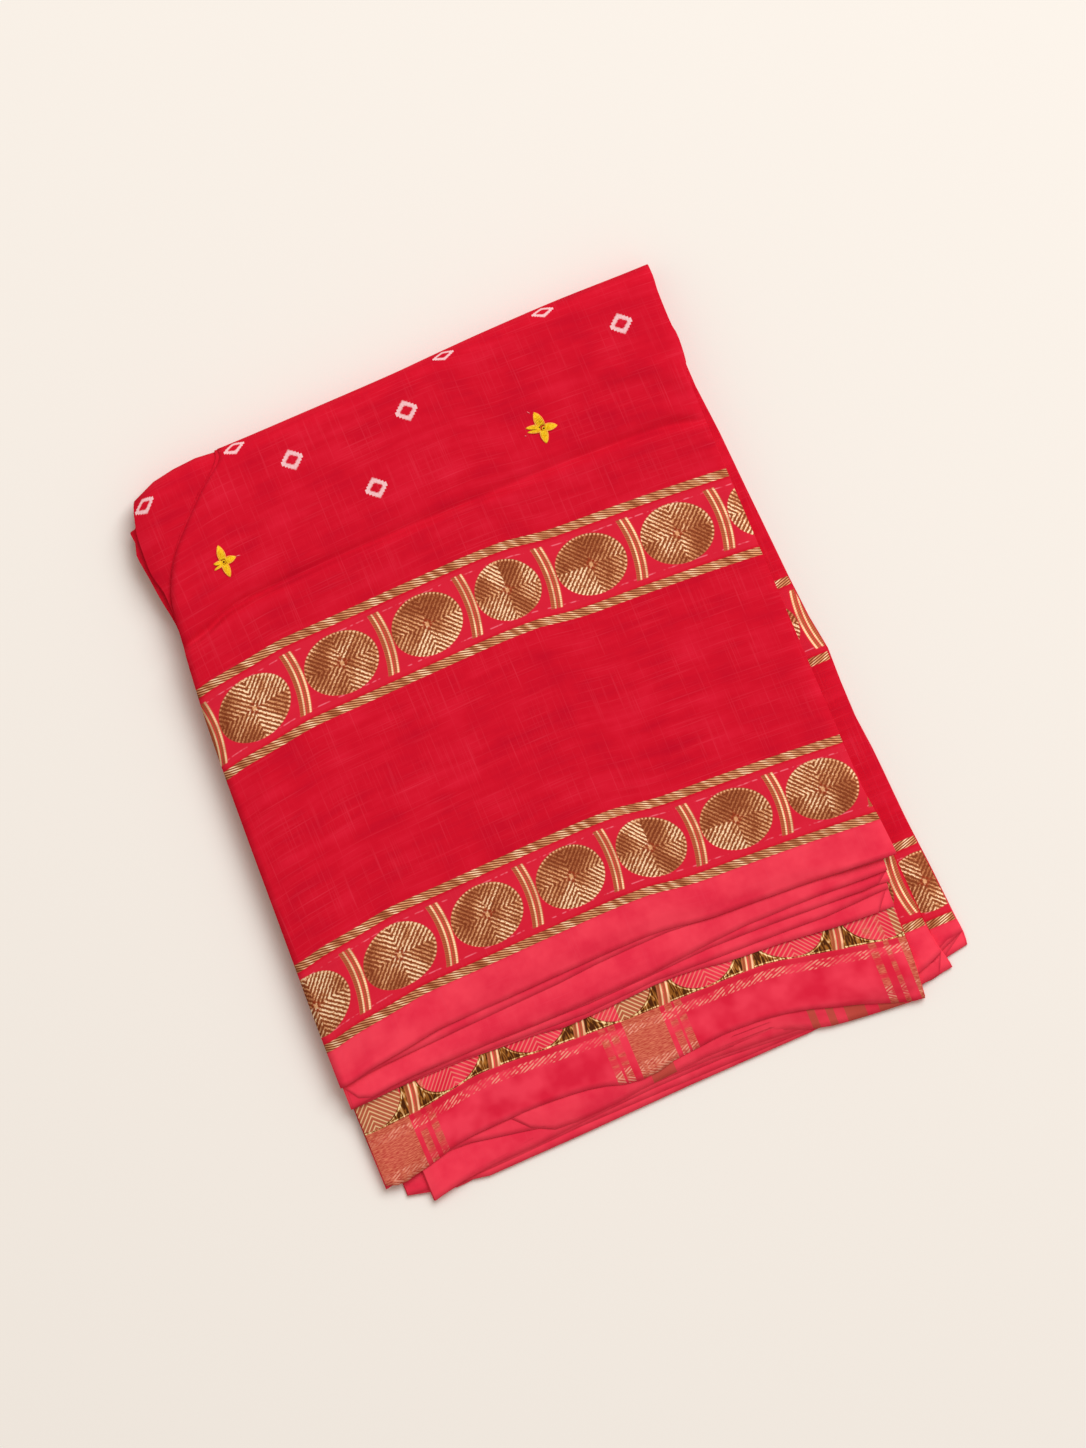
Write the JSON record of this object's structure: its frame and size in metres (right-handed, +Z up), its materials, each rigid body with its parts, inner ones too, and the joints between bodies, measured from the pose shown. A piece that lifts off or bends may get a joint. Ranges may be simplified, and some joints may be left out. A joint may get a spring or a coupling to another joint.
{
  "type": "folded sungudi saree",
  "caption": "Red cotton sungudi saree folded into a flat packet, with woven zari border bands, tie-dye diamonds and embroidered stars.",
  "frame": {"origin": "on the table under the middle of the folded packet", "axes": "+X across the packet to the wearer's right as pictured, +Y towards the bent top edge, +Z up from the table"},
  "size_m": [0.349, 0.4312, 0.0241],
  "materials": {
    "cotton_cloth": "plain-woven cotton, dyed red, with zari borders",
    "embroidery_thread": "yellow cotton embroidery thread",
    "zari_thread": "gold zari thread"
  },
  "bodies": {
    "root": {"saree_cloth": "cotton_cloth"}
  },
  "joints": []
}
